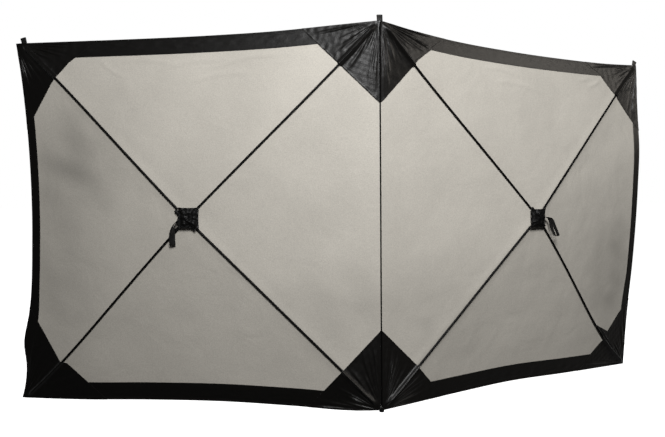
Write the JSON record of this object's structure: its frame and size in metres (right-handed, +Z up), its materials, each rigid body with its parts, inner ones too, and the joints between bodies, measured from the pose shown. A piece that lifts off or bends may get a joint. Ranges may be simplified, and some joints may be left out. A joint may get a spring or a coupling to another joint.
{
  "type": "beach windbreak",
  "caption": "Free-standing pop-up beach windbreak: square cloth bays on sprung crossed poles with central hubs, joined at an upright seam that folds.",
  "frame": {"origin": "middle of the flat underside of the foot under the seam, on the ground", "axes": "+Z up along the seam, +X to the right along the windbreak's width, +Y to the sheltered side, away from the hubs' bow"},
  "size_m": [3.162, 0.6018, 1.7145],
  "materials": {
    "light_cloth": "taut woven polyester, light warm grey, matt",
    "black_cloth": "woven polyester, black, slight sheen on its folds",
    "webbing": "ribbed black webbing",
    "piping": "black sewn piping",
    "pole": "glossy black fibreglass",
    "plastic": "moulded black plastic"
  },
  "bodies": {
    "left_bay": {"left_panel": "light_cloth", "left_top_band": "black_cloth", "left_bottom_band": "black_cloth", "left_side_band": "black_cloth", "left_top_outer_patch": "black_cloth", "left_top_seam_patch": "black_cloth", "left_bottom_outer_patch": "black_cloth", "left_bottom_seam_patch": "black_cloth", "left_hub": "plastic", "left_hub_pad": "black_cloth", "left_back_patch": "black_cloth", "left_pull_strap": "webbing", "left_top_outer_pole": "pole", "left_top_seam_pole": "pole", "left_bottom_outer_pole": "pole", "left_bottom_seam_pole": "pole", "left_pole_tips": "plastic", "left_guy_loop": "webbing", "seam_piping": "piping", "seam_foot": "plastic", "seam_guy_loop": "webbing"},
    "right_bay": {"right_panel": "light_cloth", "right_top_band": "black_cloth", "right_bottom_band": "black_cloth", "right_side_band": "black_cloth", "right_top_outer_patch": "black_cloth", "right_top_seam_patch": "black_cloth", "right_bottom_outer_patch": "black_cloth", "right_bottom_seam_patch": "black_cloth", "right_hub": "plastic", "right_hub_pad": "black_cloth", "right_back_patch": "black_cloth", "right_pull_strap": "webbing", "right_top_outer_pole": "pole", "right_top_seam_pole": "pole", "right_bottom_outer_pole": "pole", "right_bottom_seam_pole": "pole", "right_pole_tips": "plastic", "right_guy_loop": "webbing"}
  },
  "joints": [
    {"name": "seam_fold", "type": "hinge", "parent": "left_bay", "child": "right_bay", "pos_m": [0, 0, 0], "axis": [0, 0, 1], "range_deg": [-70, 129]}
  ]
}
